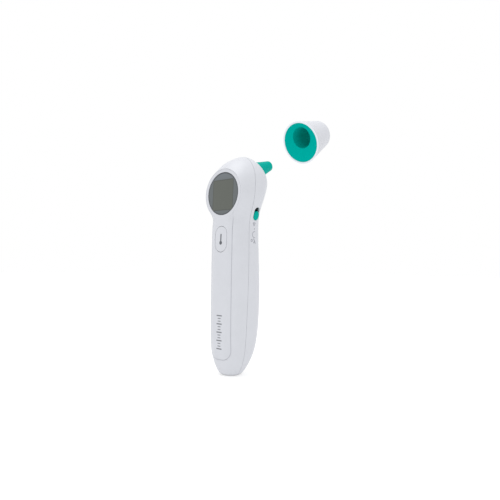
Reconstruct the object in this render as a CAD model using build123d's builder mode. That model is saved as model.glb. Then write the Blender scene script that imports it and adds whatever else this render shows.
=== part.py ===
from build123d import *
import os
from math import cos, pi, radians, sin, sqrt, tan

os.makedirs("parts", exist_ok=True)

# ---------------------------------------------------------------- driving dimensions (mm)
HEIGHT = 161.5            # base to crown
SEAM_TOP = 164.0          # the cutting zones run past the crown
WALL = 1.9                # moulded housing wall
PANEL_GAP = 0.1           # groove round the front panel
PANEL_T = 1.2             # front panel thickness
SEAM = 0.12               # parting gap between the two housing halves

FACE_Z = 132.4            # display centre height
FACE_Y = -13.5            # display face plane at that height
FACE_R = 18.3             # flat face radius
FACE_TILT = 2.5           # face leans back, degrees
LENS_R = 15.6
LENS_T = 1.3
WINDOW_R = 14.3

STRIP_HALF = 10.4         # front panel strip half width
STRIP_END = 12.0          # lower end of the strip
STRIP_CORNER = 8.0

BTN_Z = 99.3              # scan button centre height
BTN_W, BTN_H = 11.6, 18.4
BTN_GAP = 0.3

SLIDE_Z, SLIDE_Y = 118.0, 4.9
SLIDE_W, SLIDE_H = 6.0, 9.8
SLIDE_TILT = 15.0
KNOB_W, KNOB_H = 5.3, 6.7

PROBE_TILT = 21.5         # probe axis above horizontal, degrees
PROBE_Y, PROBE_Z = 27.0, 155.6
PROBE_R0, PROBE_R1, PROBE_L = 7.7, 3.9, 10.4
PROBE_BACK = -12.5

CAP_TILT = 22.5
CAP_Y, CAP_Z = 76.9, 184.8
CAP_R0, CAP_R1, CAP_L = 18.1, 11.6, 30.0
CAP_SHIFT = 1.0           # outer end sits a little above the mouth axis
CAP_WALL = 1.4
BORE_SHIFT = 3.6
BORE_R0, BORE_R1 = 9.0, 6.2
DISH_DEPTH = 3.0

DOOR_Z0, DOOR_Z1, DOOR_HALF = 20.0, 79.0, 11.6
GRIP_Z = (66.0, 69.0, 72.0)   # thumb grooves across the door
DOOR_GAP = 0.25
CELL_R, CELL_L = 5.15, 43.2
CELL_X, CELL_Y, CELL_Z0 = 5.5, 5.6, 24.6

FOOT_Y, FOOT_R, FOOT_T = -3.5, 4.6, 0.7

PCB_Y, PCB_T = -6.8, 1.2  # front face and thickness
POSTS = [(x, z) for z in (32.0, 86.0) for x in (-8.0, 8.0)]
BOSSES = [(-7.0, 75.0), (7.0, 75.0)]

# height, half width, front, back, centre, front exponent, back exponent
SKIN = [
    (0.0, 5.6, -9.2, 2.2, -3.5, 2.2, 2.2),
    (0.8, 7.4, -10.8, 3.8, -3.5, 2.3, 2.3),
    (3.5, 9.6, -12.6, 6.0, -3.2, 2.4, 2.4),
    (8.0, 11.7, -14.0, 8.6, -2.7, 2.6, 2.6),
    (14.0, 13.5, -15.1, 11.0, -2.0, 2.9, 2.9),
    (25.0, 14.85, -15.6, 13.8, -0.9, 3.2, 3.2),
    (42.0, 15.3, -15.6, 15.7, 0.0, 3.3, 3.3),
    (62.0, 15.4, -15.5, 16.2, 0.3, 3.3, 3.3),
    (85.0, 15.2, -15.3, 15.4, 0.0, 3.3, 3.3),
    (102.0, 15.0, -15.1, 14.7, -0.2, 3.3, 3.3),
    (110.0, 15.2, -14.8, 14.8, 0.0, 3.1, 3.1),
    (114.0, 15.7, -14.6, 14.9, 0.4, 2.9, 2.9),
    (118.0, 16.7, -14.3, 15.3, 1.0, 2.8, 2.6),
    (122.0, 18.0, -14.2, 16.0, 1.8, 2.7, 2.4),
    (126.0, 19.2, -14.0, 17.3, 2.6, 2.7, 2.25),
    (130.0, 20.1, -13.8, 19.0, 3.6, 2.7, 2.15),
    (134.0, 20.6, -13.6, 20.9, 4.8, 2.7, 2.05),
    (138.0, 20.8, -13.4, 22.3, 5.8, 2.7, 2.0),
    (142.0, 20.6, -13.2, 22.7, 6.6, 2.6, 2.0),
    (146.0, 19.8, -13.0, 22.1, 7.0, 2.5, 2.0),
    (150.0, 18.2, -12.8, 20.3, 7.2, 2.25, 2.0),
    (153.0, 16.3, -10.6, 18.1, 7.1, 2.1, 2.0),
    (156.0, 13.5, -7.3, 15.2, 6.9, 2.0, 2.0),
    (158.5, 10.3, -3.2, 12.2, 6.5, 2.0, 2.0),
    (160.4, 6.7, 1.0, 10.0, 6.0, 2.0, 2.0),
    (161.5, 2.6, 3.9, 7.9, 6.0, 2.0, 2.0),
]


def face_y(z):
    """Display face plane: y at a height."""
    return FACE_Y + (z - FACE_Z) * tan(radians(FACE_TILT))


def front_edge(z, a, yf, yc, n):
    """Front of a section, carried past the face plane so the cut leaves a round flat."""
    w2 = FACE_R ** 2 - (z - FACE_Z) ** 2
    if w2 <= 0:
        return yf
    w = sqrt(w2)
    return yc - (yc - face_y(z)) / (1 - (w / a) ** n) ** (1 / n)


def skin_points(station, inset, count=24):
    """Points around one rounded section, moved inwards by inset."""
    z, a, yf, yb, yc, nf, nb = station
    yf = front_edge(z, a, yf, yc, nf)
    points = []
    for i in range(count):
        t = 2 * pi * (i + 0.5) / count
        c, s = cos(t), sin(t)
        n = nf if s < 0 else nb
        depth = (yc - yf if s < 0 else yb - yc) - inset
        x = (a - inset) * abs(c) ** (2 / n) * (1 if c > 0 else -1)
        y = yc + depth * abs(s) ** (2 / n) * (1 if s > 0 else -1)
        points.append((x, y))
    return points


def skin_curve(station, inset):
    """Closed curve of one section; even parameters keep the lofted skin simple."""
    points = skin_points(station, inset)
    steps = [i / len(points) for i in range(len(points) + 1)]
    return Edge.make_spline([Vector(*p) for p in points], periodic=True, parameters=steps)


def inset_height(z, inset):
    """Heights close up towards the middle so floor and crown keep the wall."""
    return inset + z * (HEIGHT - 2 * inset) / HEIGHT


def seam_y(z):
    """Parting line between the housings, as a gentle wave in side view."""
    return -3.7 + 2.6 * sin(pi * min(z, 98) / 196) ** 2 + 5.4 * max(0, (z - 134) / 27.7) ** 2


face_plane = Plane(origin=(0, FACE_Y, FACE_Z), x_dir=(1, 0, 0),
                   z_dir=(0, -cos(radians(FACE_TILT)), sin(radians(FACE_TILT))))
probe_dir = (0, cos(radians(PROBE_TILT)), sin(radians(PROBE_TILT)))
probe_plane = Plane(origin=(0, PROBE_Y, PROBE_Z), x_dir=(1, 0, 0), z_dir=probe_dir)
probe_side = Plane(origin=(0, PROBE_Y, PROBE_Z), x_dir=probe_dir, z_dir=(1, 0, 0))
probe_axis = Axis((0, PROBE_Y, PROBE_Z), probe_dir)
cap_dir = (0, cos(radians(CAP_TILT)), sin(radians(CAP_TILT)))
cap_plane = Plane(origin=(0, CAP_Y, CAP_Z), x_dir=(-1, 0, 0), z_dir=cap_dir)
knob_dir = (cos(radians(SLIDE_TILT)), 0, -sin(radians(SLIDE_TILT)))
knob_plane = Plane(origin=(16.9, SLIDE_Y, SLIDE_Z), x_dir=(0, 1, 0), z_dir=knob_dir)
parts = {}

# ---------------------------------------------------------------- outer and inner skins
with BuildPart() as outer_skin:
    for station in SKIN:
        with BuildSketch(Plane.XY.offset(station[0])):
            with BuildLine():
                add(skin_curve(station, 0))
            make_face()
    loft()
    split(bisect_by=face_plane, keep=Keep.BOTTOM)

with BuildPart() as panel_floor:
    for station in SKIN[1:-1]:
        with BuildSketch(Plane.XY.offset(inset_height(station[0], PANEL_T))):
            with BuildLine():
                add(skin_curve(station, PANEL_T))
            make_face()
    loft()
    split(bisect_by=face_plane.offset(-PANEL_T), keep=Keep.BOTTOM)

with BuildPart() as inner_skin:
    for station in SKIN[1:-1]:
        with BuildSketch(Plane.XY.offset(inset_height(station[0], WALL))):
            with BuildLine():
                add(skin_curve(station, WALL))
            make_face()
    loft()
    split(bisect_by=face_plane.offset(-WALL - 0.2), keep=Keep.BOTTOM)

with BuildPart() as shell:
    add(outer_skin.part)
    add(inner_skin.part, mode=Mode.SUBTRACT)
    with BuildSketch(Plane.XY):
        with Locations((0, FOOT_Y)):
            Circle(FOOT_R)
    extrude(amount=FOOT_T, mode=Mode.SUBTRACT)

# ---------------------------------------------------------------- shared cutting zones
seam_points = [(seam_y(z), z) for z in (-2, 20, 45, 70, 98, 118, 134, 144, 152, 158, SEAM_TOP)]

with BuildPart() as front_zone:
    with BuildSketch(Plane.YZ):
        with BuildLine():
            Spline(*[(y - SEAM / 2, z) for y, z in seam_points])
            Polyline((seam_points[-1][0] - SEAM / 2, SEAM_TOP), (-40, SEAM_TOP), (-40, -2),
                     (seam_points[0][0] - SEAM / 2, -2))
        make_face()
    extrude(amount=30, both=True)

with BuildPart() as rear_zone:
    with BuildSketch(Plane.YZ):
        with BuildLine():
            Spline(*[(y + SEAM / 2, z) for y, z in seam_points])
            Polyline((seam_points[-1][0] + SEAM / 2, SEAM_TOP), (45, SEAM_TOP), (45, -2),
                     (seam_points[0][0] + SEAM / 2, -2))
        make_face()
    extrude(amount=30, both=True)


with BuildSketch(Plane.XZ) as panel_outline:
    with Locations((0, FACE_Z)):
        Circle(FACE_R - 0.4)
    with Locations((0, (STRIP_END + FACE_Z) / 2)):
        Rectangle(2 * STRIP_HALF, FACE_Z - STRIP_END)
    fillet(panel_outline.vertices().sort_by(Axis.Y)[:2], STRIP_CORNER)
    fillet(panel_outline.vertices().filter_by_position(Axis.Y, 112, 124), 7.0)

with BuildSketch(Plane.XZ) as panel_pocket:
    add(panel_outline.sketch)
    offset(amount=PANEL_GAP)

with BuildSketch(Plane.XZ) as button_outline:
    with Locations((0, BTN_Z)):
        SlotOverall(BTN_H, BTN_W, rotation=90)

with BuildSketch(Plane.XZ) as button_hole:
    with Locations((0, BTN_Z)):
        SlotOverall(BTN_H + 2 * BTN_GAP, BTN_W + 2 * BTN_GAP, rotation=90)

# ---------------------------------------------------------------- front housing
with BuildPart() as pocket:
    extrude(panel_pocket.sketch, amount=40)
    add(panel_floor.part, mode=Mode.SUBTRACT)

with BuildPart() as standoffs:
    with Locations(*[Plane.XZ * Pos(x, z, -PCB_Y) for x, z in POSTS]):
        Cylinder(1.9, 7.5, align=(Align.CENTER, Align.CENTER, Align.MIN))
        Hole(0.8, 5.0)
    with Locations(*[Plane.XZ * Pos(x, z, 1.0) for x, z in BOSSES]):
        Cylinder(2.3, 13.5, align=(Align.CENTER, Align.CENTER, Align.MIN))
        Hole(0.9, 9.0)
    add(panel_floor.part, mode=Mode.INTERSECT)

with BuildPart() as front_housing:
    add(shell.part)
    add(front_zone.part, mode=Mode.INTERSECT)
    add(pocket.part, mode=Mode.SUBTRACT)
    with BuildSketch(face_plane):
        Circle(WINDOW_R)
    extrude(amount=-8, mode=Mode.SUBTRACT)
    extrude(button_hole.sketch, amount=40, mode=Mode.SUBTRACT)
    add(standoffs.part)
parts["front_housing"] = front_housing.part

# ---------------------------------------------------------------- rear housing and battery door
with BuildSketch(Plane.XZ) as door_outline:
    with Locations((0, (DOOR_Z0 + DOOR_Z1) / 2)):
        RectangleRounded(2 * DOOR_HALF, DOOR_Z1 - DOOR_Z0, 4)

with BuildSketch(Plane.XZ) as door_hole:
    with Locations((0, (DOOR_Z0 + DOOR_Z1) / 2)):
        RectangleRounded(2 * (DOOR_HALF + DOOR_GAP), DOOR_Z1 - DOOR_Z0 + 2 * DOOR_GAP, 4 + DOOR_GAP)

with BuildPart() as rear_housing:
    add(shell.part)
    add(rear_zone.part, mode=Mode.INTERSECT)
    extrude(door_hole.sketch, amount=-40, mode=Mode.SUBTRACT)
    with BuildSketch(probe_plane):
        Circle(PROBE_R0 + 0.1)
    extrude(amount=PROBE_BACK - 4, mode=Mode.SUBTRACT)
    with BuildSketch(knob_plane):
        SlotOverall(SLIDE_H, SLIDE_W, rotation=90)
    extrude(amount=6, both=True, mode=Mode.SUBTRACT)
parts["rear_housing"] = rear_housing.part

with BuildPart() as battery_door:
    extrude(door_outline.sketch, amount=-40)
    add(shell.part, mode=Mode.INTERSECT)
    with Locations(*[(0, 17.0, z) for z in GRIP_Z]):
        Box(13, 2.6, 1.1, mode=Mode.SUBTRACT)
parts["battery_door"] = battery_door.part

with BuildPart() as door_foam:
    with Locations((0, 11.6, 48)):
        Box(11, 1.3, 28)
parts["door_foam"] = door_foam.part

# ---------------------------------------------------------------- front panel, lens and button
with BuildPart() as front_panel:
    extrude(panel_outline.sketch, amount=40)
    add(outer_skin.part, mode=Mode.INTERSECT)
    add(panel_floor.part, mode=Mode.SUBTRACT)
    with BuildSketch(face_plane):
        Circle(LENS_R + 0.08)
    extrude(amount=-8, mode=Mode.SUBTRACT)
    extrude(button_hole.sketch, amount=40, mode=Mode.SUBTRACT)
parts["front_panel"] = front_panel.part

with BuildPart() as display_lens:
    with BuildSketch(face_plane.offset(-PANEL_T)):
        Circle(LENS_R)
    extrude(amount=LENS_T - 0.25)
    fillet(display_lens.edges().group_by(Axis.Y)[0], 0.35)
parts["display_lens"] = display_lens.part

with BuildPart() as scan_button:
    extrude(button_outline.sketch, amount=40)
    add(outer_skin.part, mode=Mode.INTERSECT)
    split(bisect_by=Plane.XZ.offset(12.2), keep=Keep.TOP)
    with BuildSketch(Plane.XZ.offset(11.2)):
        with Locations((0, BTN_Z)):
            SlotOverall(BTN_H + 2.4, BTN_W + 2.4, rotation=90)
    extrude(amount=1.0)
    with BuildSketch(Plane.XZ.offset(10.5)):
        with Locations((0, BTN_Z)):
            Circle(1.7)
    extrude(amount=0.7)
parts["scan_button"] = scan_button.part

# ---------------------------------------------------------------- mode slider
with BuildPart() as mode_knob:
    with BuildSketch(knob_plane.offset(-3.0)):
        with Locations((0, -(SLIDE_H - KNOB_H) / 2 + 0.15)):
            SlotOverall(KNOB_H, KNOB_W, rotation=90)
    extrude(amount=3.3)
    fillet(mode_knob.faces().sort_by(Axis.X)[-1].edges(), 0.9)
    with BuildSketch(knob_plane.offset(-3.0)):
        with Locations((0, -(SLIDE_H - KNOB_H) / 2 + 0.15)):
            Rectangle(1.6, 2.2)
    extrude(amount=-3.0)
parts["mode_knob"] = mode_knob.part

with BuildPart() as slide_switch:
    with BuildSketch(knob_plane.offset(-9.2)):
        Rectangle(4.2, 9.6)
    extrude(amount=4.0)
    with BuildSketch(knob_plane.offset(-6.4)):
        Rectangle(2.2, 6.6)
    extrude(amount=1.4, mode=Mode.SUBTRACT)
parts["slide_switch"] = slide_switch.part

with BuildPart() as switch_board:
    with BuildSketch(knob_plane.offset(-10.2)):
        RectangleRounded(7.0, 15.0, 1.0)
    extrude(amount=1.0)
parts["switch_board"] = switch_board.part

# ---------------------------------------------------------------- probe
with BuildPart() as probe_cone:
    with BuildSketch(probe_side) as probe_profile:
        with BuildLine():
            Polyline((PROBE_BACK - 3, PROBE_R0 - 1.2), (PROBE_BACK - 3, PROBE_R0),
                     (PROBE_BACK, PROBE_R0), (PROBE_L, PROBE_R1), (PROBE_L, 2.6), (2.4, 2.6),
                     (PROBE_BACK, PROBE_R0 - 1.2), (PROBE_BACK - 3, PROBE_R0 - 1.2))
        make_face()
        fillet(probe_profile.vertices().group_by(Axis.X)[-1], 0.6)
    revolve(axis=probe_axis)
parts["probe_cone"] = probe_cone.part

with BuildPart() as probe_window:
    with BuildSketch(probe_plane.offset(PROBE_L - 1.2)):
        Circle(2.56)
    extrude(amount=0.5)
parts["probe_window"] = probe_window.part

with BuildPart() as sensor_sleeve:
    with BuildSketch(probe_plane.offset(PROBE_L - 7.6)):
        Circle(2.56)
        Circle(2.15, mode=Mode.SUBTRACT)
    extrude(amount=6.3)
parts["sensor_sleeve"] = sensor_sleeve.part

with BuildPart() as thermopile:
    with BuildSketch(probe_plane.offset(PROBE_L - 4.4)):
        Circle(2.12)
    extrude(amount=2.6)
    fillet(thermopile.edges().sort_by(Axis.Y)[-1], 0.3)
    with BuildSketch(probe_plane.offset(PROBE_L - 4.4)):
        with PolarLocations(1.2, 4):
            Circle(0.22)
    extrude(amount=-3.0)
parts["thermopile"] = thermopile.part

with BuildPart() as sensor_flex:
    with BuildSketch(Plane.YZ):
        with BuildLine():
            Polyline((28.0, 155.9), (12.0, 149.6), (-2.6, 141.2), (-4.2, 138.4))
        trace(line_width=0.3)
    extrude(amount=2.0, both=True)
parts["sensor_flex"] = sensor_flex.part

# ---------------------------------------------------------------- cap
with BuildPart() as cap_shell:
    for d, r, up in ((0, CAP_R0, 0), (CAP_L, CAP_R1, CAP_SHIFT)):
        with BuildSketch(cap_plane.offset(d)):
            with Locations((0, up)):
                Circle(r)
    loft()
    fillet(cap_shell.edges().sort_by(Axis.Y)[-1], 3.0)
    for d, r, up in ((0, CAP_R0 - CAP_WALL, 0),
                     (CAP_L - CAP_WALL, CAP_R1 - CAP_WALL + 0.3, CAP_SHIFT)):
        with BuildSketch(cap_plane.offset(d)):
            with Locations((0, up)):
                Circle(r)
    loft(mode=Mode.SUBTRACT)
    with BuildSketch(cap_plane.offset(CAP_L - CAP_WALL - 0.5)):
        with Locations((0, CAP_SHIFT)):
            Circle(BORE_R1 + 1.4)
    extrude(amount=4, mode=Mode.SUBTRACT)
parts["cap_shell"] = cap_shell.part

with BuildPart() as cap_liner:
    for d, r, up in ((0.2, CAP_R0 - CAP_WALL - 0.1, 0), (4.6, CAP_R0 - CAP_WALL - 1.15, 0.15)):
        with BuildSketch(cap_plane.offset(d)):
            with Locations((0, up)):
                Circle(r)
    loft()
    for d, r, up in ((4.5, BORE_R0 + 1.1, BORE_SHIFT), (CAP_L - 0.4, BORE_R1 + 1.0, CAP_SHIFT)):
        with BuildSketch(cap_plane.offset(d)):
            with Locations((0, up)):
                Circle(r)
    loft()
    for d, r, up in ((0, CAP_R0 - CAP_WALL - 0.5, 0), (DISH_DEPTH, BORE_R0, BORE_SHIFT)):
        with BuildSketch(cap_plane.offset(d)):
            with Locations((0, up)):
                Circle(r)
    loft(mode=Mode.SUBTRACT)
    for d, r, up in ((DISH_DEPTH, BORE_R0, BORE_SHIFT), (CAP_L, BORE_R1, CAP_SHIFT)):
        with BuildSketch(cap_plane.offset(d)):
            with Locations((0, up)):
                Circle(r)
    loft(mode=Mode.SUBTRACT)
parts["cap_liner"] = cap_liner.part

# ---------------------------------------------------------------- display stack
with BuildPart() as lcd_frame:
    with BuildSketch(Plane.XZ.offset(6.8)):
        with Locations((0, FACE_Z - 0.7)):
            RectangleRounded(26.0, 22.2, 4.0)
            RectangleRounded(24.4, 20.6, 2.4, mode=Mode.SUBTRACT)
    extrude(amount=4.1)
parts["lcd_frame"] = lcd_frame.part

with BuildPart() as lcd_glass:
    with BuildSketch(Plane.XZ.offset(8.9)):
        with Locations((0, FACE_Z - 0.7)):
            RectangleRounded(24.2, 20.4, 2.3)
    extrude(amount=1.9)
parts["lcd_glass"] = lcd_glass.part

with BuildPart() as backlight:
    with BuildSketch(Plane.XZ.offset(7.5)):
        with Locations((0, FACE_Z - 0.7)):
            RectangleRounded(23.8, 14.0, 0.6)
    extrude(amount=1.2)
parts["backlight"] = backlight.part

with BuildPart() as lcd_connectors:
    with Locations(*[(0, -7.85, FACE_Z - 0.7 + dz) for dz in (-8.6, 8.6)]):
        Box(19, 2.0, 1.5)
parts["lcd_connectors"] = lcd_connectors.part

# ---------------------------------------------------------------- main board and components
with BuildPart() as main_board:
    with BuildSketch(Plane.XZ.offset(-PCB_Y - PCB_T)) as board_outline:
        with Locations((0, 73.0)):
            Rectangle(21.6, 96.0)
        with Locations((0, 132.0)):
            RectangleRounded(28.0, 26.0, 4.0)
        with Locations(*POSTS):
            Circle(0.85, mode=Mode.SUBTRACT)
        with Locations(*BOSSES):
            Circle(2.6, mode=Mode.SUBTRACT)
    extrude(amount=PCB_T)
parts["main_board"] = main_board.part

with BuildPart() as board_screws:
    with Locations(*[Plane.XZ * Pos(x, z, -PCB_Y - PCB_T) for x, z in POSTS]):
        Cylinder(1.6, 1.0, align=(Align.CENTER, Align.CENTER, Align.MAX))
        Cylinder(0.78, 5.0, align=(Align.CENTER, Align.CENTER, Align.MIN))
        with Locations((0, 0, -1.0)):
            Box(2.2, 0.4, 0.8, mode=Mode.SUBTRACT)
            Box(0.4, 2.2, 0.8, mode=Mode.SUBTRACT)
parts["board_screws"] = board_screws.part

with BuildPart() as tact_switch:
    with BuildSketch(Plane.XZ.offset(-PCB_Y)):
        with Locations((0, BTN_Z)):
            RectangleRounded(6.0, 6.0, 0.6)
    extrude(amount=2.6)
    with BuildSketch(Plane.XZ.offset(-PCB_Y + 1.2)):
        with Locations((0, BTN_Z)):
            Circle(1.85)
    extrude(amount=2.0, mode=Mode.SUBTRACT)
parts["tact_switch"] = tact_switch.part

with BuildPart() as tact_plunger:
    with BuildSketch(Plane.XZ.offset(-PCB_Y + 2.05)):
        with Locations((0, BTN_Z)):
            Circle(1.7)
    extrude(amount=1.55)
parts["tact_plunger"] = tact_plunger.part

with BuildPart() as buzzer:
    with Locations(Plane.XZ * Pos(0, 98.0, -PCB_Y - PCB_T)):
        Cylinder(5.6, 3.4, align=(Align.CENTER, Align.CENTER, Align.MAX))
        Hole(0.8, 3.0)
parts["buzzer"] = buzzer.part

with BuildPart() as controller:
    with Locations((0, -5.0, 112.0)):
        Box(7.0, 1.2, 7.0)
    chamfer(controller.edges().filter_by(Axis.Y), 0.4)
parts["controller"] = controller.part

with BuildPart() as memory_chip:
    with Locations((8.0, -5.15, 121.0)):
        Box(4.9, 0.9, 3.9)
parts["memory_chip"] = memory_chip.part

with BuildPart() as crystal:
    with Locations((-7.6, -5.1, 112.0)):
        Box(2.4, 1.0, 6.0)
    fillet(crystal.edges().filter_by(Axis.Y), 0.8)
parts["crystal"] = crystal.part

with BuildPart() as passives:
    with Locations(*[(x, -5.3, z) for x in (-8.2, -5.6, 5.6, 8.2) for z in (56.0, 62.0, 68.0, 84.0 + 6.0)]):
        Box(0.9, 0.6, 1.7)
parts["passives"] = passives.part

with BuildPart() as flex_connector:
    with Locations((0, -5.0, 136.6)):
        Box(6.0, 1.2, 3.6)
parts["flex_connector"] = flex_connector.part

# ---------------------------------------------------------------- battery bay
with BuildPart() as battery_tray:
    with Locations((0, 2.6, 46.2)):
        Box(23.2, 6.8, 48.4)
    with Locations((0, 5.2, 46.2)):
        Box(21.6, 10.0, 46.0, mode=Mode.SUBTRACT)
    with Locations((0, -0.2, 74.4)):
        Box(21.0, 1.2, 8.2)
    with Locations(*[Plane.XZ * Pos(x, z, 0) for x, z in BOSSES]):
        Hole(1.2, 4)
parts["battery_tray"] = battery_tray.part

with BuildPart() as tray_screws:
    with Locations(*[Plane.XZ * Pos(x, z, -0.4) for x, z in BOSSES]):
        Cylinder(2.1, 1.3, align=(Align.CENTER, Align.CENTER, Align.MAX))
        Cylinder(0.88, 8.5, align=(Align.CENTER, Align.CENTER, Align.MIN))
        with Locations((0, 0, -1.3)):
            Box(2.8, 0.5, 1.0, mode=Mode.SUBTRACT)
            Box(0.5, 2.8, 1.0, mode=Mode.SUBTRACT)
parts["tray_screws"] = tray_screws.part

for name, x, up in (("cell_left", -CELL_X, 1), ("cell_right", CELL_X, -1)):
    with BuildPart() as cell:
        with Locations((x, CELL_Y, CELL_Z0 + CELL_L / 2)):
            Cylinder(CELL_R, CELL_L)
            fillet(cell.edges(), 0.5)
            with Locations((0, 0, up * (CELL_L / 2 + 0.45))):
                Cylinder(1.9, 0.9)
    parts[name] = cell.part

with BuildPart() as contact_bridge:
    with BuildSketch(Plane.XZ.offset(-CELL_Y - 3.0)):
        with BuildLine():
            Polyline((-9.4, 23.5), (-8.4, 23.4), (-6.4, 24.3), (-4.6, 24.3), (-2.6, 23.4), (9.4, 23.4))
        trace(line_width=0.3)
    extrude(amount=6.0)
parts["contact_bridge"] = contact_bridge.part

with BuildPart() as contacts_top:
    with BuildSketch(Plane.XZ.offset(-CELL_Y - 3.0)):
        with BuildLine():
            Polyline((2.0, 68.9), (3.6, 68.1), (5.4, 68.1), (7.4, 69.0), (9.4, 69.0))
        trace(line_width=0.3)
        with Locations((-5.5, 69.0)):
            Rectangle(7.4, 0.3)
    extrude(amount=6.0)
parts["contacts_top"] = contacts_top.part

# ---------------------------------------------------------------- foot
with BuildPart() as base_foot:
    with BuildSketch(Plane.XY):
        with Locations((0, FOOT_Y)):
            Circle(FOOT_R - 0.05)
    extrude(amount=FOOT_T)
parts["base_foot"] = base_foot.part

for name, part in parts.items():
    part.label = name
    export_step(part, f"parts/{name}.step")
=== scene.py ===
"""Looks of a handheld ear thermometer with its probe cap held off the head."""

import logging
from dataclasses import dataclass, field
from enum import Enum
from math import cos, pi, radians, sin
from typing import Mapping, Optional, Protocol, Union

import bpy
from mathutils import Matrix, Vector


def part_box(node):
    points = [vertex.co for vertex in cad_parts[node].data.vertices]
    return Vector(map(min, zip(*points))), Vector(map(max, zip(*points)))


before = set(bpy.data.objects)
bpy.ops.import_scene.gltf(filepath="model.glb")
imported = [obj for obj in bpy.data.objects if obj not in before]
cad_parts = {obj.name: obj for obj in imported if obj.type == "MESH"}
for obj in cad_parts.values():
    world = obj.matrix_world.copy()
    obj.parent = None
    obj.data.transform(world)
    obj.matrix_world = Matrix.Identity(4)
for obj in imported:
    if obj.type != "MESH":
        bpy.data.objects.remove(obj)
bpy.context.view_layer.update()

LOG = logging.getLogger("thermometer")
MM = 0.001                                # metres in a millimetre
Colour = tuple[float, float, float]       # linear red, green and blue
Space = tuple[float, float, float]        # one number for each axis
Point = tuple[float, float]               # a place on a printed face, in millimetres
Span = tuple[float, float]                # where a ramp starts and where it ends
MIX_FACTOR, MIX_LOW, MIX_HIGH = 0, 6, 7   # a Mix node's input sockets for colours
MIX_RESULT = 2                            # and its output socket


def srgb(red: int, green: int, blue: int) -> Colour:
    """Turn a display colour into the linear one a shader takes.

    Args:
        red: Red, 0 to 255.
        green: Green, 0 to 255.
        blue: Blue, 0 to 255.

    Returns:
        The linear colour.
    """
    def linear(value: int) -> float:
        """Undo the display curve for one channel."""
        share = value / 255
        return share / 12.92 if share <= 0.04045 else ((share + 0.055) / 1.055) ** 2.4
    return linear(red), linear(green), linear(blue)


def middle(node: str) -> Vector:
    """Middle of a CAD node's box, in millimetres.

    Args:
        node: The node's name.

    Returns:
        The middle point.
    """
    low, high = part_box(node)
    return (Vector(low) + Vector(high)) / 2 / MM


def ends(node: str) -> tuple[float, float]:
    """Lowest and highest height of a CAD node, in millimetres."""
    low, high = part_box(node)
    return low[2] / MM, high[2] / MM


# ---------------------------------------------------------------- shader maths


class Field:
    """A number that varies over a surface, with arithmetic that adds Math nodes."""

    def __init__(self, recipe: "Recipe", socket: bpy.types.NodeSocket) -> None:
        """Wrap an output socket of a recipe."""
        self.recipe = recipe
        self.socket = socket

    def _math(self, operation: str, *values: "Value") -> "Field":
        """Add one Math node.

        Args:
            operation: What the node works out.
            values: What it works on.

        Returns:
            The node's result.
        """
        node = self.recipe.node("ShaderNodeMath", {"operation": operation},
                                dict(enumerate(values)))
        return Field(self.recipe, node.outputs[0])

    def __add__(self, other: "Value") -> "Field":
        """Sum."""
        return self._math("ADD", self, other)

    def __radd__(self, other: "Value") -> "Field":
        """Sum, reflected."""
        return self._math("ADD", other, self)

    def __sub__(self, other: "Value") -> "Field":
        """Difference."""
        return self._math("SUBTRACT", self, other)

    def __rsub__(self, other: "Value") -> "Field":
        """Difference, reflected."""
        return self._math("SUBTRACT", other, self)

    def __mul__(self, other: "Value") -> "Field":
        """Product."""
        return self._math("MULTIPLY", self, other)

    def __rmul__(self, other: "Value") -> "Field":
        """Product, reflected."""
        return self._math("MULTIPLY", other, self)

    def __truediv__(self, other: "Value") -> "Field":
        """Quotient."""
        return self._math("DIVIDE", self, other)

    def __abs__(self) -> "Field":
        """Size without sign."""
        return self._math("ABSOLUTE", self)

    def __and__(self, other: "Value") -> "Field":
        """Overlap of two masks, or the nearer wall of two distances."""
        return self._math("MINIMUM", self, other)

    def __or__(self, other: "Value") -> "Field":
        """Union of two masks."""
        return self._math("MAXIMUM", self, other)

    def sine(self) -> "Field":
        """Sine of the value."""
        return self._math("SINE", self)

    def root(self) -> "Field":
        """Square root of the value."""
        return self._math("SQRT", self)

    def ramp(self, low: float, high: float) -> "Field":
        """Rise smoothly from 0 at low to 1 at high; low may be above high.

        Args:
            low: Value that gives 0.
            high: Value that gives 1.

        Returns:
            The eased share.
        """
        node = self.recipe.node(
            "ShaderNodeMapRange", {"interpolation_type": "SMOOTHSTEP", "clamp": True},
            {"Value": self, "From Min": low, "From Max": high, "To Min": 0.0, "To Max": 1.0})
        return Field(self.recipe, node.outputs["Result"])

    def repeat(self, pitch: float) -> "Field":
        """Distance from the nearest whole number of pitches."""
        return self - self._math("ROUND", self / pitch) * pitch

    def blend(self, low: "Paint", high: "Paint") -> bpy.types.NodeSocket:
        """Mix two colours by this value.

        Args:
            low: Colour where the value is 0.
            high: Colour where the value is 1.

        Returns:
            The colour socket.
        """
        node = self.recipe.node("ShaderNodeMix", {"data_type": "RGBA"},
                                {MIX_FACTOR: self, MIX_LOW: low, MIX_HIGH: high})
        return node.outputs[MIX_RESULT]


Value = Union[Field, float]
Paint = Union[bpy.types.NodeSocket, Colour]


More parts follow.
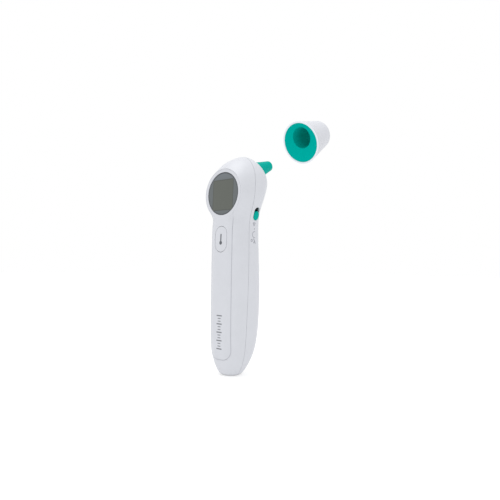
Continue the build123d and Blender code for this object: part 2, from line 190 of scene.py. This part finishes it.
class Recipe:
    """A material under construction."""

    def __init__(self, name: str) -> None:
        """Start an empty node tree with an output.

        Args:
            name: The material's name.
        """
        self.material = bpy.data.materials.new(name)
        self.material.use_nodes = True
        self.tree = self.material.node_tree
        self.tree.nodes.clear()
        self.output = self.node("ShaderNodeOutputMaterial")

    def node(self, kind: str, settings: Optional[Mapping[str, object]] = None,
             inputs: Optional[Mapping[Union[str, int], object]] = None) -> bpy.types.Node:
        """Add a node.

        Args:
            kind: Blender's node type.
            settings: Attributes, set before the sockets.
            inputs: Socket values or links by name or number.

        Returns:
            The new node.
        """
        made = self.tree.nodes.new(kind)
        for key, value in (settings or {}).items():
            setattr(made, key, value)
        for key, value in (inputs or {}).items():
            socket = made.inputs[key]
            if isinstance(value, Field):
                value = value.socket
            if isinstance(value, bpy.types.NodeSocket):
                self.tree.links.new(value, socket)
            elif isinstance(value, tuple) and socket.type == "RGBA":
                socket.default_value = (*value, 1.0)
            else:
                socket.default_value = value
        return made

    def spot(self) -> bpy.types.NodeSocket:
        """Position on the piece in metres, in the shared frame, as one socket."""
        return self.node("ShaderNodeTexCoord").outputs["Object"]

    def place(self) -> tuple[Field, Field, Field]:
        """Split the position on the piece into its coordinates.

        Returns:
            The three coordinates in millimetres, in the shared frame.
        """
        scaled = self.node("ShaderNodeVectorMath", {"operation": "SCALE"},
                           {0: self.spot(), "Scale": 1 / MM})
        parts = self.node("ShaderNodeSeparateXYZ", {}, {0: scaled.outputs[0]})
        return tuple(Field(self, out) for out in parts.outputs)

    def noise(self, scale: float, detail: float = 2.0, stretch: Space = (1, 1, 1)) -> Field:
        """Cloudy noise over the piece.

        Args:
            scale: Features per metre.
            detail: Octaves.
            stretch: How much each axis is compressed.

        Returns:
            Noise about 0.5.
        """
        mapped = self.node("ShaderNodeMapping", {}, {0: self.spot(), "Scale": stretch})
        made = self.node("ShaderNodeTexNoise", {},
                         {"Vector": mapped.outputs[0], "Scale": scale, "Detail": detail})
        return Field(self, made.outputs["Fac"])

    def finish(self, colour: Paint, roughness: Value, height: Optional[Field] = None,
               depth: float = 0.0, **constant: object) -> bpy.types.Material:
        """Close the tree with one surface.

        Args:
            colour: Base colour.
            roughness: Roughness.
            height: Relief, 0 to 1.
            depth: Relief depth in metres.
            constant: Values set straight on the surface's own sockets.

        Returns:
            The finished material.
        """
        inputs: dict[Union[str, int], object] = {"Base Color": colour, "Roughness": roughness}
        inputs.update({key.replace("_", " "): value for key, value in constant.items()})
        if height is not None:
            bump = self.node("ShaderNodeBump", {},
                             {"Height": height, "Distance": depth, "Strength": 1.0})
            inputs["Normal"] = bump.outputs[0]
        surface = self.node("ShaderNodeBsdfPrincipled", {}, inputs)
        self.tree.links.new(surface.outputs[0], self.output.inputs[0])
        return self.material


# ---------------------------------------------------------------- printed marks


@dataclass(frozen=True)
class Stroke:
    """A straight printed line with round ends, in millimetres."""

    start: Point
    end: Point
    radius: float


@dataclass(frozen=True)
class Round:
    """A printed disc, or a ring where it has a line, in millimetres."""

    centre: Point
    radius: float
    line: float = 0.0


@dataclass(frozen=True)
class Ticks:
    """A row of printed ticks one above another, in millimetres."""

    pitch: float
    half_line: float
    half_length: float


@dataclass(frozen=True)
class Print:
    """Ink shapes on a plane, as soft-edged masks of two coordinates in millimetres."""

    edge: float = 0.09

    def ink(self, distance: Field) -> Field:
        """Turn a distance from an outline into a mask."""
        return distance.ramp(self.edge, -self.edge)

    def round(self, across: Field, up: Field, shape: Round) -> Field:
        """Draw a disc or a ring.

        Args:
            across: First coordinate.
            up: Second coordinate.
            shape: What to draw.

        Returns:
            The mask.
        """
        dx, dy = across - shape.centre[0], up - shape.centre[1]
        out = (dx * dx + dy * dy).root() - shape.radius
        return self.ink(abs(out) - shape.line / 2) if shape.line else self.ink(out)

    def stroke(self, across: Field, up: Field, shape: Stroke) -> Field:
        """Draw a straight line with round ends.

        Args:
            across: First coordinate.
            up: Second coordinate.
            shape: What to draw.

        Returns:
            The mask.
        """
        run, rise = shape.end[0] - shape.start[0], shape.end[1] - shape.start[1]
        dx, dy = across - shape.start[0], up - shape.start[1]
        share = (dx * run + dy * rise) / (run * run + rise * rise)
        share = (share & 1.0) | 0.0
        rx, ry = dx - share * run, dy - share * rise
        return self.ink((rx * rx + ry * ry).root() - shape.radius)

    def ticks(self, across: Field, up: Field, row: Ticks) -> Field:
        """Draw an endless row of ticks.

        Args:
            across: First coordinate, from the middle of the row.
            up: Second coordinate, from one of the ticks.
            row: What to draw.

        Returns:
            The mask.
        """
        line = self.ink(abs(up.repeat(row.pitch)) - row.half_line)
        return line * self.ink(abs(across) - row.half_length)


# ---------------------------------------------------------------- finishes


class Finish(Protocol):
    """Anything that builds a material."""

    def make(self) -> bpy.types.Material:
        """Build the material."""


def dimmed(colour: Colour, share: float) -> Colour:
    """The same colour, darker or lighter by a share."""
    return tuple(channel * share for channel in colour)


@dataclass(frozen=True)
class Moulding:
    """Injection-moulded plastic with a fine satin skin."""

    name: str
    colour: Colour
    roughness: float = 0.42
    coat: float = 0.0
    mottle: float = 0.02              # how much darker its clouds are
    cloud_scale: float = 90.0         # features per metre, here and below
    cloud_span: Span = (0.3, 0.7)
    drift: float = 0.08               # how much the roughness wanders
    drift_scale: float = 260.0
    texture: float = 0.000004         # depth of the satin skin, in metres
    texture_scale: float = 5200.0
    shine: float = 0.4

    def tone(self, recipe: Recipe) -> Paint:
        """Base colour with a faint cloud in it.

        Args:
            recipe: The material under construction.

        Returns:
            The colour.
        """
        cloud = recipe.noise(self.cloud_scale, 3.0).ramp(*self.cloud_span)
        return cloud.blend(dimmed(self.colour, 1 - self.mottle), self.colour)

    def make(self) -> bpy.types.Material:
        """Build the material."""
        recipe = Recipe(self.name)
        return self.close(recipe, self.tone(recipe))

    def close(self, recipe: Recipe, colour: Paint) -> bpy.types.Material:
        """Add roughness drift and the mould's satin texture under a colour.

        Args:
            recipe: The material under construction.
            colour: Base colour.

        Returns:
            The finished material.
        """
        cloud = recipe.noise(self.drift_scale, 3.0)
        rough = cloud * self.drift + (self.roughness - self.drift / 2)
        grain = recipe.noise(self.texture_scale, 1.0)
        return recipe.finish(colour, rough, grain, self.texture, Coat_Weight=self.coat,
                             Specular_IOR_Level=self.shine)


@dataclass(frozen=True)
class ButtonMoulding(Moulding):
    """Button plastic with a thermometer sign printed on it."""

    ink_colour: Colour = field(default_factory=lambda: srgb(88, 91, 97))
    centre_z: float = field(default_factory=lambda: middle("scan_button").z)
    bulb: Round = Round((0.0, -2.6), 1.4)
    stem: Stroke = Stroke((0.0, -2.4), (0.0, 3.3), 0.6)
    pen: Print = Print(0.1)

    def make(self) -> bpy.types.Material:
        """Build the material."""
        recipe = Recipe(self.name)
        x, _, z = recipe.place()
        up = z - self.centre_z
        sign = self.pen.round(x, up, self.bulb) | self.pen.stroke(x, up, self.stem)
        return self.close(recipe, sign.blend(self.tone(recipe), self.ink_colour))


@dataclass(frozen=True)
class HousingMoulding(Moulding):
    """Housing plastic with painted shade along the parting between the two halves and towards the
    foot.
    """

    # painted shade along the parting between the halves
    seam_shade_colour: Colour = field(default_factory=lambda: srgb(180, 182, 189))
    seam_half: float = 0.16
    foot_y: float = -3.7              # depth of the parting line at the foot
    neck_z: float = 98.0              # it swings back up to this height
    neck_swing: float = 2.6
    crown_z: float = 134.0            # and again from here to the crown
    crown_rise: float = 27.7
    crown_swing: float = 5.4
    # painted shade: the skin turns darker towards the very bottom, where the underside gets less
    # light and the floor's contact shadow falls
    foot_shade_colour: Colour = field(default_factory=lambda: srgb(166, 168, 172))
    foot_shade_top: float = 1.8
    pen: Print = Print(0.12)

    def seam_shade(self, y: Field, z: Field) -> Field:
        """Painted shade: a soft darker line along the parting between the halves, where shade
        falls in the gap.

        Args:
            y: Depth in millimetres.
            z: Height in millimetres.

        Returns:
            The mask.
        """
        neck = ((z & self.neck_z) * (pi / 2 / self.neck_z)).sine()
        crown = ((z - self.crown_z) | 0.0) / self.crown_rise
        parting = neck * neck * self.neck_swing + crown * crown * self.crown_swing + self.foot_y
        return self.pen.ink(abs(y - parting) - self.seam_half)

    def marks(self, x: Field, y: Field, z: Field) -> tuple[Field, Colour]:
        """Darker places on the skin: painted shade along the parting.

        Args:
            x: Distance to the side in millimetres.
            y: Depth in millimetres.
            z: Height in millimetres.

        Returns:
            The mask and its colour.
        """
        return self.seam_shade(y, z), self.seam_shade_colour

    def make(self) -> bpy.types.Material:
        """Build the material."""
        recipe = Recipe(self.name)
        x, y, z = recipe.place()
        mask, colour = self.marks(x, y, z)
        # painted shade, darker towards the foot
        skin = z.ramp(self.foot_shade_top, 0.0).blend(self.tone(recipe), self.foot_shade_colour)
        return self.close(recipe, mask.blend(skin, colour))


@dataclass(frozen=True)
class RearMoulding(HousingMoulding):
    """Rear housing plastic with the mode signs printed below the slider."""

    ink_colour: Colour = field(default_factory=lambda: srgb(132, 135, 144))
    # how strongly the painted seam shade shows, in the ink's colour
    seam_shade_share: float = 0.42
    slot_z: float = field(default_factory=lambda: middle("mode_knob").z)
    side_x: Span = (9.0, 10.0)       # the ink fades in between these, on one side only
    bow_end: Span = (5.4, 5.2)       # and out between these, so that the bow stays open
    pad: tuple[Stroke, ...] = (Stroke((2.7, -5.6), (4.0, -7.8), 0.25),
                               Stroke((5.3, -5.6), (4.0, -7.8), 0.25),
                               Stroke((2.7, -5.6), (5.3, -5.6), 0.25))
    dot: Round = Round((4.6, -9.9), 0.45)
    bow: Round = Round((4.7, -14.1), 2.2, 0.45)
    head: Round = Round((1.7, -18.4), 0.8, 0.45)
    limbs: tuple[Stroke, ...] = (Stroke((3.9, -17.2), (5.6, -20.4), 0.35),
                                 Stroke((3.7, -20.2), (4.6, -19.0), 0.3))

    def signs(self, x: Field, y: Field, up: Field) -> Field:
        """Mode signs, one below another.

        Args:
            x: Distance to the side in millimetres.
            y: Depth in millimetres.
            up: Height above the slider's knob in millimetres.

        Returns:
            The mask.
        """
        mask = self.pen.round(y, up, self.bow) * y.ramp(*self.bow_end)
        for shape in (self.dot, self.head):
            mask = mask | self.pen.round(y, up, shape)
        for shape in self.pad + self.limbs:
            mask = mask | self.pen.stroke(y, up, shape)
        return mask * x.ramp(*self.side_x)

    def marks(self, x: Field, y: Field, z: Field) -> tuple[Field, Colour]:
        """Painted seam shade and printed signs.

        Args:
            x: Distance to the side in millimetres.
            y: Depth in millimetres.
            z: Height in millimetres.

        Returns:
            The mask and its colour.
        """
        signs = self.signs(x, y, z - self.slot_z)
        # the painted seam shade is drawn in the ink's colour at a share
        return signs | self.seam_shade(y, z) * self.seam_shade_share, self.ink_colour


@dataclass(frozen=True)
class PanelMoulding(Moulding):
    """Front panel plastic with painted shade for its edge groove and a plain printed scale."""

    # painted shade standing in for the edge groove's gap
    groove_shade_colour: Colour = field(default_factory=lambda: srgb(168, 170, 178))
    ink_colour: Colour = field(default_factory=lambda: srgb(112, 114, 120))
    half_width: float = 10.2
    corner: float = 7.6
    low_z: float = field(default_factory=lambda: ends("front_panel")[0] + 0.2)
    groove_half: float = 0.14
    flank_z: Span = (116.0, 112.0)   # the groove fades in below the display, between these
    front_y: Span = (-9.0, -10.0)    # and the ink on the panel's face, between these
    scale_x: float = -0.2
    scale_z: float = field(default_factory=lambda: ends("front_panel")[0] + 20.0)
    scale_half: float = 12.8
    fine: Ticks = Ticks(2.0, 0.3, 1.5)
    bold: Ticks = Ticks(6.0, 0.42, 2.7)
    pen: Print = Print(0.14)

    def groove_shade(self, x: Field, z: Field) -> Field:
        """Painted shade of a groove: a darker line just inside the strip's edge, closed by its
        round lower end.

        Args:
            x: Distance to the side in millimetres.
            z: Height in millimetres.

        Returns:
            The mask.
        """
        dx = (abs(x) - (self.half_width - self.corner)) | 0.0
        dz = (self.low_z + self.corner - z) | 0.0
        out = (dx * dx + dz * dz).root() - self.corner
        return self.pen.ink(abs(out) - self.groove_half) * z.ramp(*self.flank_z)

    def scale(self, x: Field, z: Field) -> Field:
        """Plain ticks of two lengths, one above another.

        Args:
            x: Distance to the side in millimetres.
            z: Height in millimetres.

        Returns:
            The mask.
        """
        across, up = x - self.scale_x, z - self.scale_z
        rows = self.pen.ticks(across, up, self.fine) | self.pen.ticks(across, up, self.bold)
        return rows * self.pen.ink(abs(up) - self.scale_half)

    def make(self) -> bpy.types.Material:
        """Build the material."""
        recipe = Recipe(self.name)
        x, y, z = recipe.place()
        # painted groove shade over the panel's tone
        colour = self.groove_shade(x, z).blend(self.tone(recipe), self.groove_shade_colour)
        scale = self.scale(x, z) * y.ramp(*self.front_y)
        return self.close(recipe, scale.blend(colour, self.ink_colour))


@dataclass(frozen=True)
class CapMoulding(Moulding):
    """Cap plastic with a painted highlight on the flat rim round its mouth."""

    # painted highlight, the flat rim paler than the rest of the shell
    rim_highlight_colour: Colour = field(default_factory=lambda: srgb(226, 230, 237))
    tilt: float = 22.5                # how far the cap's axis leans up, in degrees
    rim_depth: float = 0.35
    rim_blur: float = 0.15

    def make(self) -> bpy.types.Material:
        """Build the material."""
        recipe = Recipe(self.name)
        _, y, z = recipe.place()
        low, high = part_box("cap_shell")
        radius = (high[0] - low[0]) / 2 / MM
        ahead, rise = cos(radians(self.tilt)), sin(radians(self.tilt))
        depth = ((y - (low[1] / MM + radius * rise)) * ahead
                 + (z - (low[2] / MM + radius * ahead)) * rise)
        # painted highlight over the rim's first fraction of a millimetre
        rim = depth.ramp(self.rim_depth + self.rim_blur, self.rim_depth)
        return self.close(recipe, rim.blend(self.tone(recipe), self.rim_highlight_colour))


@dataclass(frozen=True)
class SmokedWindow:
    """Round display window: smoked rim with a painted sheen towards its top, a painted shadow line
    round the display, and the blank display showing through.
    """

    name: str
    radius: float = 15.6
    edge: Colour = field(default_factory=lambda: srgb(62, 67, 72))
    rim: Colour = field(default_factory=lambda: srgb(86, 92, 94))
    # painted reflection: the rim's paler tone towards its top
    sheen: Colour = field(default_factory=lambda: srgb(98, 104, 109))
    cell: Colour = field(default_factory=lambda: srgb(77, 81, 74))
    # painted shadow line just inside the display's outline
    cell_shadow: Colour = field(default_factory=lambda: srgb(60, 64, 58))
    half_width: float = 10.6
    above: float = 10.3
    below: float = 12.2
    corner: float = 1.2
    sheen_up: Span = (6.0, 14.0)     # the rim turns to its upper tone between these
    edge_out: Span = (-1.3, -0.5)    # and to its edge's tone between these
    cell_shadow_out: Span = (-0.9, -0.2)
    blur: float = 0.2
    cloud_scale: float = 140.0
    cell_lift: float = 1.04           # how much paler the display's clouds are
    roughness: float = 0.14
    drift: float = 0.04
    relief: float = 0.000002
    relief_scale: float = 900.0
    coat: float = 0.3

    def cell_distance(self, x: Field, up: Field) -> Field:
        """How far a point is outside the display's rounded outline.

        Args:
            x: Distance to the side in millimetres.
            up: Height above the window's middle in millimetres.

        Returns:
            The distance, negative inside the outline.
        """
        middle_up, half_up = (self.above - self.below) / 2, (self.above + self.below) / 2
        dx = (abs(x) - (self.half_width - self.corner)) | 0.0
        dy = (abs(up - middle_up) - (half_up - self.corner)) | 0.0
        return (dx * dx + dy * dy).root() - self.corner

    def make(self) -> bpy.types.Material:
        """Build the material."""
        recipe = Recipe(self.name)
        x, _, z = recipe.place()
        up = z - middle("display_lens").z
        outside = self.cell_distance(x, up)
        out = (x * x + up * up).root() - self.radius
        # painted sheen: the rim turns paler towards its top
        rim = up.ramp(*self.sheen_up).blend(self.rim, self.sheen)
        rim = out.ramp(*self.edge_out).blend(rim, self.edge)
        cloud = recipe.noise(self.cloud_scale, 3.0)
        cell = cloud.blend(self.cell, dimmed(self.cell, self.cell_lift))
        # painted shadow line along the display's edge
        cell = outside.ramp(*self.cell_shadow_out).blend(cell, self.cell_shadow)
        colour = outside.ramp(self.blur, -self.blur).blend(rim, cell)
        rough = cloud * self.drift + self.roughness
        return recipe.finish(colour, rough, recipe.noise(self.relief_scale, 1.0), self.relief,
                             Coat_Weight=self.coat, Coat_Roughness=0.06)


@dataclass(frozen=True)
class Board:
    """Circuit board: solder mask with copper runs under it."""

    name: str
    mask_colour: Colour = (0.015, 0.16, 0.06)
    run_colour: Colour = (0.04, 0.27, 0.11)
    lane: float = 0.9                 # half the pitch of the runs, in millimetres
    lane_span: Span = (0.35, 0.55)
    step: float = 7.0                 # half the pitch of their breaks
    step_span: Span = (-0.1, 0.1)
    wander: float = 6.0               # how far the breaks stray
    wander_scale: float = 60.0
    roughness: float = 0.35
    relief: float = 0.00003

    def make(self) -> bpy.types.Material:
        """Build the material."""
        recipe = Recipe(self.name)
        x, _, z = recipe.place()
        lanes = (x * (pi / self.lane)).sine().ramp(*self.lane_span)
        stray = recipe.noise(self.wander_scale) * self.wander
        steps = (z * (pi / self.step) + stray).sine().ramp(*self.step_span)
        runs = lanes * steps
        colour = runs.blend(self.mask_colour, self.run_colour)
        return recipe.finish(colour, self.roughness, runs, self.relief)


@dataclass(frozen=True)
class Metal:
    """Plated or turned metal with a drawn grain."""

    name: str
    colour: Colour
    roughness: float = 0.3
    drift: float = 0.16               # how much the roughness changes along the grain
    grain: Space = (6.0, 6.0, 0.6)    # drawn along its height
    grain_scale: float = 1400.0
    shade: float = 0.86               # how dark the lines between the grain are
    relief: float = 0.000006

    def make(self) -> bpy.types.Material:
        """Build the material."""
        recipe = Recipe(self.name)
        lines = recipe.noise(self.grain_scale, 2.0, self.grain)
        tint = lines.blend(dimmed(self.colour, self.shade), self.colour)
        rough = lines * self.drift + (self.roughness - self.drift / 2)
        return recipe.finish(tint, rough, lines, self.relief, Metallic=1.0)


@dataclass(frozen=True)
class Foam:
    """Closed-cell foam or soft rubber with small pores."""

    name: str
    colour: Colour
    pore: float = 1900.0              # pores per metre
    pore_span: Span = (0.1, 0.5)
    shade: float = 0.6                # how dark the pores are
    depth: float = 0.00006
    roughness: float = 0.85

    def make(self) -> bpy.types.Material:
        """Build the material."""
        recipe = Recipe(self.name)
        cells = recipe.node("ShaderNodeTexVoronoi", {},
                            {"Vector": recipe.spot(), "Scale": self.pore})
        pores = Field(recipe, cells.outputs["Distance"])
        tint = pores.ramp(*self.pore_span).blend(dimmed(self.colour, self.shade), self.colour)
        return recipe.finish(tint, self.roughness, pores, self.depth)


@dataclass(frozen=True)
class CellSleeve:
    """Printed sleeve of a dry cell: a pale band at the raised end, then a line and a dark one."""

    name: str
    upright: bool
    band: Colour = (0.05, 0.22, 0.20)
    body: Colour = (0.50, 0.52, 0.54)
    line: Colour = (0.75, 0.75, 0.75)
    line_half: float = 0.5
    reach: float = 12.0               # how far the pale band comes down
    blur: float = 0.1
    roughness: float = 0.25
    drift: float = 0.1
    wrap_scale: float = 300.0
    relief: float = 0.00001

    def make(self) -> bpy.types.Material:
        """Build the material."""
        recipe = Recipe(self.name)
        _, _, z = recipe.place()
        low, high = ends("cell_left" if self.upright else "cell_right")
        split = high - self.reach if self.upright else low + self.reach
        past = z - split if self.upright else split - z
        band = past.ramp(-self.blur, self.blur)
        line = (abs(past) - self.line_half).ramp(self.blur, -self.blur)
        colour = line.blend(band.blend(self.band, self.body), self.line)
        wrap = recipe.noise(self.wrap_scale, 2.0)
        return recipe.finish(colour, wrap * self.drift + self.roughness, wrap, self.relief)


class Tint(Enum):
    """Colours of the plastics and metals."""

    WHITE = srgb(205, 207, 213)
    PANEL = srgb(204, 206, 212)
    TEAL = srgb(3, 163, 150)
    CAP_TEAL = srgb(0, 168, 158)
    DEEP_GREY = srgb(60, 62, 64)
    PALE_GREY = srgb(190, 192, 195)
    INNER = srgb(215, 215, 212)
    AMBER = srgb(196, 140, 62)
    TAN = srgb(178, 158, 128)
    FOOT = srgb(150, 152, 155)
    LCD_GREY = srgb(120, 124, 118)
    INFRARED_DARK = (0.03, 0.03, 0.035)
    BRASS = (0.78, 0.58, 0.26)
    STEEL = (0.7, 0.7, 0.72)
    SCREW_STEEL = (0.62, 0.62, 0.64)
    SPRING_STEEL = (0.75, 0.75, 0.76)


# ---------------------------------------------------------------- sub-assemblies


@dataclass
class SubAssembly:
    """CAD pieces that are dressed together."""

    dressing: Mapping[str, Finish]

    def dress(self) -> None:
        """Give every node of this group its finish and smooth its shading."""
        made: dict[Finish, bpy.types.Material] = {}
        for node, finish in self.dressing.items():
            if finish not in made:
                made[finish] = finish.make()
            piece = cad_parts[node]
            piece.data.materials.clear()
            piece.data.materials.append(made[finish])
            soften(piece)
            LOG.info("dressed %s with %s", node, made[finish].name)


def soften(piece: bpy.types.Object, angle: float = 32.0, reach: float = 0.000001) -> None:
    """Shade a piece smooth, keeping edges sharper than an angle.

    Args:
        piece: The mesh object.
        angle: Edge angle in degrees.
        reach: Corners closer than this are one corner, in metres.
    """
    weld = piece.modifiers.new("weld", "WELD")
    weld.merge_threshold = reach
    piece.data.polygons.foreach_set("use_smooth", [True] * len(piece.data.polygons))
    split = piece.modifiers.new("crease", "EDGE_SPLIT")
    split.split_angle = radians(angle)
    normal = piece.modifiers.new("normals", "WEIGHTED_NORMAL")
    normal.keep_sharp = True


@dataclass
class Handle(SubAssembly):
    """Housings, front panel, foot and battery cover."""

    dressing: Mapping[str, Finish] = field(default_factory=lambda: {
        "front_housing": HousingMoulding("front_white", Tint.WHITE.value),
        "rear_housing": RearMoulding("rear_white", Tint.WHITE.value),
        "battery_door": Moulding("door_white", Tint.WHITE.value),
        "front_panel": PanelMoulding("panel_white", Tint.PANEL.value, roughness=0.36),
        "base_foot": Foam("foot_grey", Tint.FOOT.value, pore=2600.0, depth=0.00001),
    })


@dataclass
class Controls(SubAssembly):
    """Display window, scan button and mode slider."""

    dressing: Mapping[str, Finish] = field(default_factory=lambda: {
        "display_lens": SmokedWindow("smoked_window"),
        "scan_button": ButtonMoulding("button_white", Tint.PANEL.value, roughness=0.36),
        "mode_knob": Moulding("knob_teal", Tint.TEAL.value, roughness=0.5, shine=0.03),
    })


@dataclass
class Probe(SubAssembly):
    """Probe cone and what sits in it."""

    dressing: Mapping[str, Finish] = field(default_factory=lambda: {
        "probe_cone": Moulding("probe_teal", Tint.TEAL.value, roughness=0.5, shine=0.03),
        "probe_window": Moulding("window_dark", Tint.INFRARED_DARK.value, roughness=0.1, coat=0.5),
        "sensor_sleeve": Metal("sleeve_brass", Tint.BRASS.value),
        "thermopile": Metal("can_steel", Tint.STEEL.value),
        "sensor_flex": Moulding("flex_amber", Tint.AMBER.value, roughness=0.3),
    })


@dataclass
class Cap(SubAssembly):
    """Probe cap: white shell over a teal liner."""

    dressing: Mapping[str, Finish] = field(default_factory=lambda: {
        "cap_shell": CapMoulding("cap_white", Tint.WHITE.value),
        "cap_liner": Moulding("liner_teal", Tint.CAP_TEAL.value, roughness=0.6, shine=0.0,
                              texture=0.000001),
    })


@dataclass
class Works(SubAssembly):
    """What is inside the housing."""

    dressing: Mapping[str, Finish] = field(default_factory=lambda: {
        "main_board": Board("board_green"),
        "switch_board": Board("switch_board_green"),
        "lcd_glass": Moulding("lcd_grey", Tint.LCD_GREY.value, roughness=0.12),
        "lcd_frame": Moulding("frame_pale", Tint.INNER.value),
        "backlight": Moulding("backlight_pale", Tint.INNER.value),
        "lcd_connectors": Foam("elastomer_grey", Tint.DEEP_GREY.value),
        "flex_connector": Moulding("connector_pale", Tint.INNER.value),
        "board_screws": Metal("board_screw_steel", Tint.SCREW_STEEL.value),
        "tray_screws": Metal("tray_screw_steel", Tint.SCREW_STEEL.value),
        "contact_bridge": Metal("bridge_steel", Tint.SPRING_STEEL.value, roughness=0.24),
        "contacts_top": Metal("contact_steel", Tint.SPRING_STEEL.value, roughness=0.24),
        "crystal": Metal("crystal_steel", Tint.STEEL.value),
        "tact_switch": Moulding("tact_black", Tint.DEEP_GREY.value),
        "tact_plunger": Moulding("plunger_black", Tint.DEEP_GREY.value),
        "slide_switch": Moulding("slide_black", Tint.DEEP_GREY.value),
        "buzzer": Moulding("buzzer_black", Tint.DEEP_GREY.value),
        "controller": Moulding("controller_black", Tint.DEEP_GREY.value),
        "memory_chip": Moulding("memory_black", Tint.DEEP_GREY.value),
        "passives": Moulding("ceramic_tan", Tint.TAN.value),
        "battery_tray": Moulding("tray_grey", Tint.PALE_GREY.value),
        "cell_left": CellSleeve("cell_left_sleeve", upright=True),
        "cell_right": CellSleeve("cell_right_sleeve", upright=False),
        "door_foam": Foam("foam_grey", Tint.DEEP_GREY.value),
    })


# ---------------------------------------------------------------- studio


@dataclass
class Studio:
    """Pale floor, soft lights and the camera; lengths in metres, angles in degrees."""

    azimuth: float = 45.0
    distance: float = 0.390
    height: float = 0.083
    turn: float = 1.6178
    roll: float = 0.6
    lens: float = 37.73
    lift: float = 0.024
    floor_half: float = 3.0
    floor_tones: Span = (0.46, 0.48)
    floor_cloud: float = 2.0
    floor_roughness: float = 0.8
    floor_glow: float = 0.56
    lamp_place: Space = (-0.1, -0.1, 0.9)
    lamp_aim: Space = (0.0, 0.02, 0.1)
    lamp_size: float = 0.5
    lamp_power: float = 2.4

    def floor(self) -> None:
        """Lay a pale floor with a faint glow, so that shadows stay soft."""
        half = self.floor_half
        mesh = bpy.data.meshes.new("floor")
        mesh.from_pydata([(-half, -half, 0), (half, -half, 0), (half, half, 0), (-half, half, 0)],
                         [], [(0, 1, 2, 3)])
        floor = bpy.data.objects.new("floor", mesh)
        bpy.context.scene.collection.objects.link(floor)
        recipe = Recipe("floor_pale")
        low, high = self.floor_tones
        colour = recipe.noise(self.floor_cloud).blend((low, low, low), (high, high, high))
        mesh.materials.append(recipe.finish(colour, self.floor_roughness,
                                            Emission_Color=(1.0, 1.0, 1.0),
                                            Emission_Strength=self.floor_glow))

    def sky(self) -> None:
        """Light the piece softly from all round."""
        world = bpy.data.worlds.new("studio")
        world.use_nodes = True
        background = world.node_tree.nodes["Background"]
        background.inputs["Color"].default_value = (1, 1, 1, 1)
        background.inputs["Strength"].default_value = 1.0
        bpy.context.scene.world = world

    def lamp(self) -> None:
        """Hang one square soft light above the piece."""
        data = bpy.data.lights.new("top", "AREA")
        data.size, data.energy = self.lamp_size, self.lamp_power
        lamp = bpy.data.objects.new("top", data)
        bpy.context.scene.collection.objects.link(lamp)
        lamp.location = self.lamp_place
        aim = Vector(self.lamp_aim) - Vector(self.lamp_place)
        lamp.rotation_euler = aim.to_track_quat("-Z", "Y").to_euler()

    def camera(self) -> None:
        """Stand the camera level, a little below the head, with a slight turn."""
        a, t, r = radians(self.azimuth), radians(self.turn), radians(self.roll)
        ahead = Vector((-sin(a), cos(a), 0))
        right = Vector((cos(a), sin(a), 0))
        view = ahead * cos(t) + right * sin(t)
        side = right * cos(t) - ahead * sin(t)
        up = Vector((0, 0, 1))
        side, up = side * cos(r) + up * sin(r), up * cos(r) - side * sin(r)
        data = bpy.data.cameras.new("camera")
        data.lens, data.sensor_width = self.lens, 36.0
        data.shift_y = self.lift
        data.clip_start = 0.01
        camera = bpy.data.objects.new("camera", data)
        bpy.context.scene.collection.objects.link(camera)
        turned = Matrix((side, up, -view)).transposed().to_4x4()
        turned.translation = Vector((sin(a) * self.distance, -cos(a) * self.distance, self.height))
        camera.matrix_world = turned
        bpy.context.scene.camera = camera

    def tones(self) -> None:
        """Show the tones plainly, so that whites stay white."""
        bpy.context.scene.view_settings.view_transform = "Standard"

    def build(self) -> None:
        """Set up the whole studio."""
        self.tones()
        self.floor()
        self.sky()
        self.lamp()
        self.camera()


def main() -> None:
    """Dress the frame and set the studio."""
    logging.basicConfig(level=logging.INFO, format="%(name)s: %(message)s")
    for group in (Handle(), Controls(), Probe(), Cap(), Works()):
        group.dress()
    Studio().build()


if __name__ == "__main__":
    main()
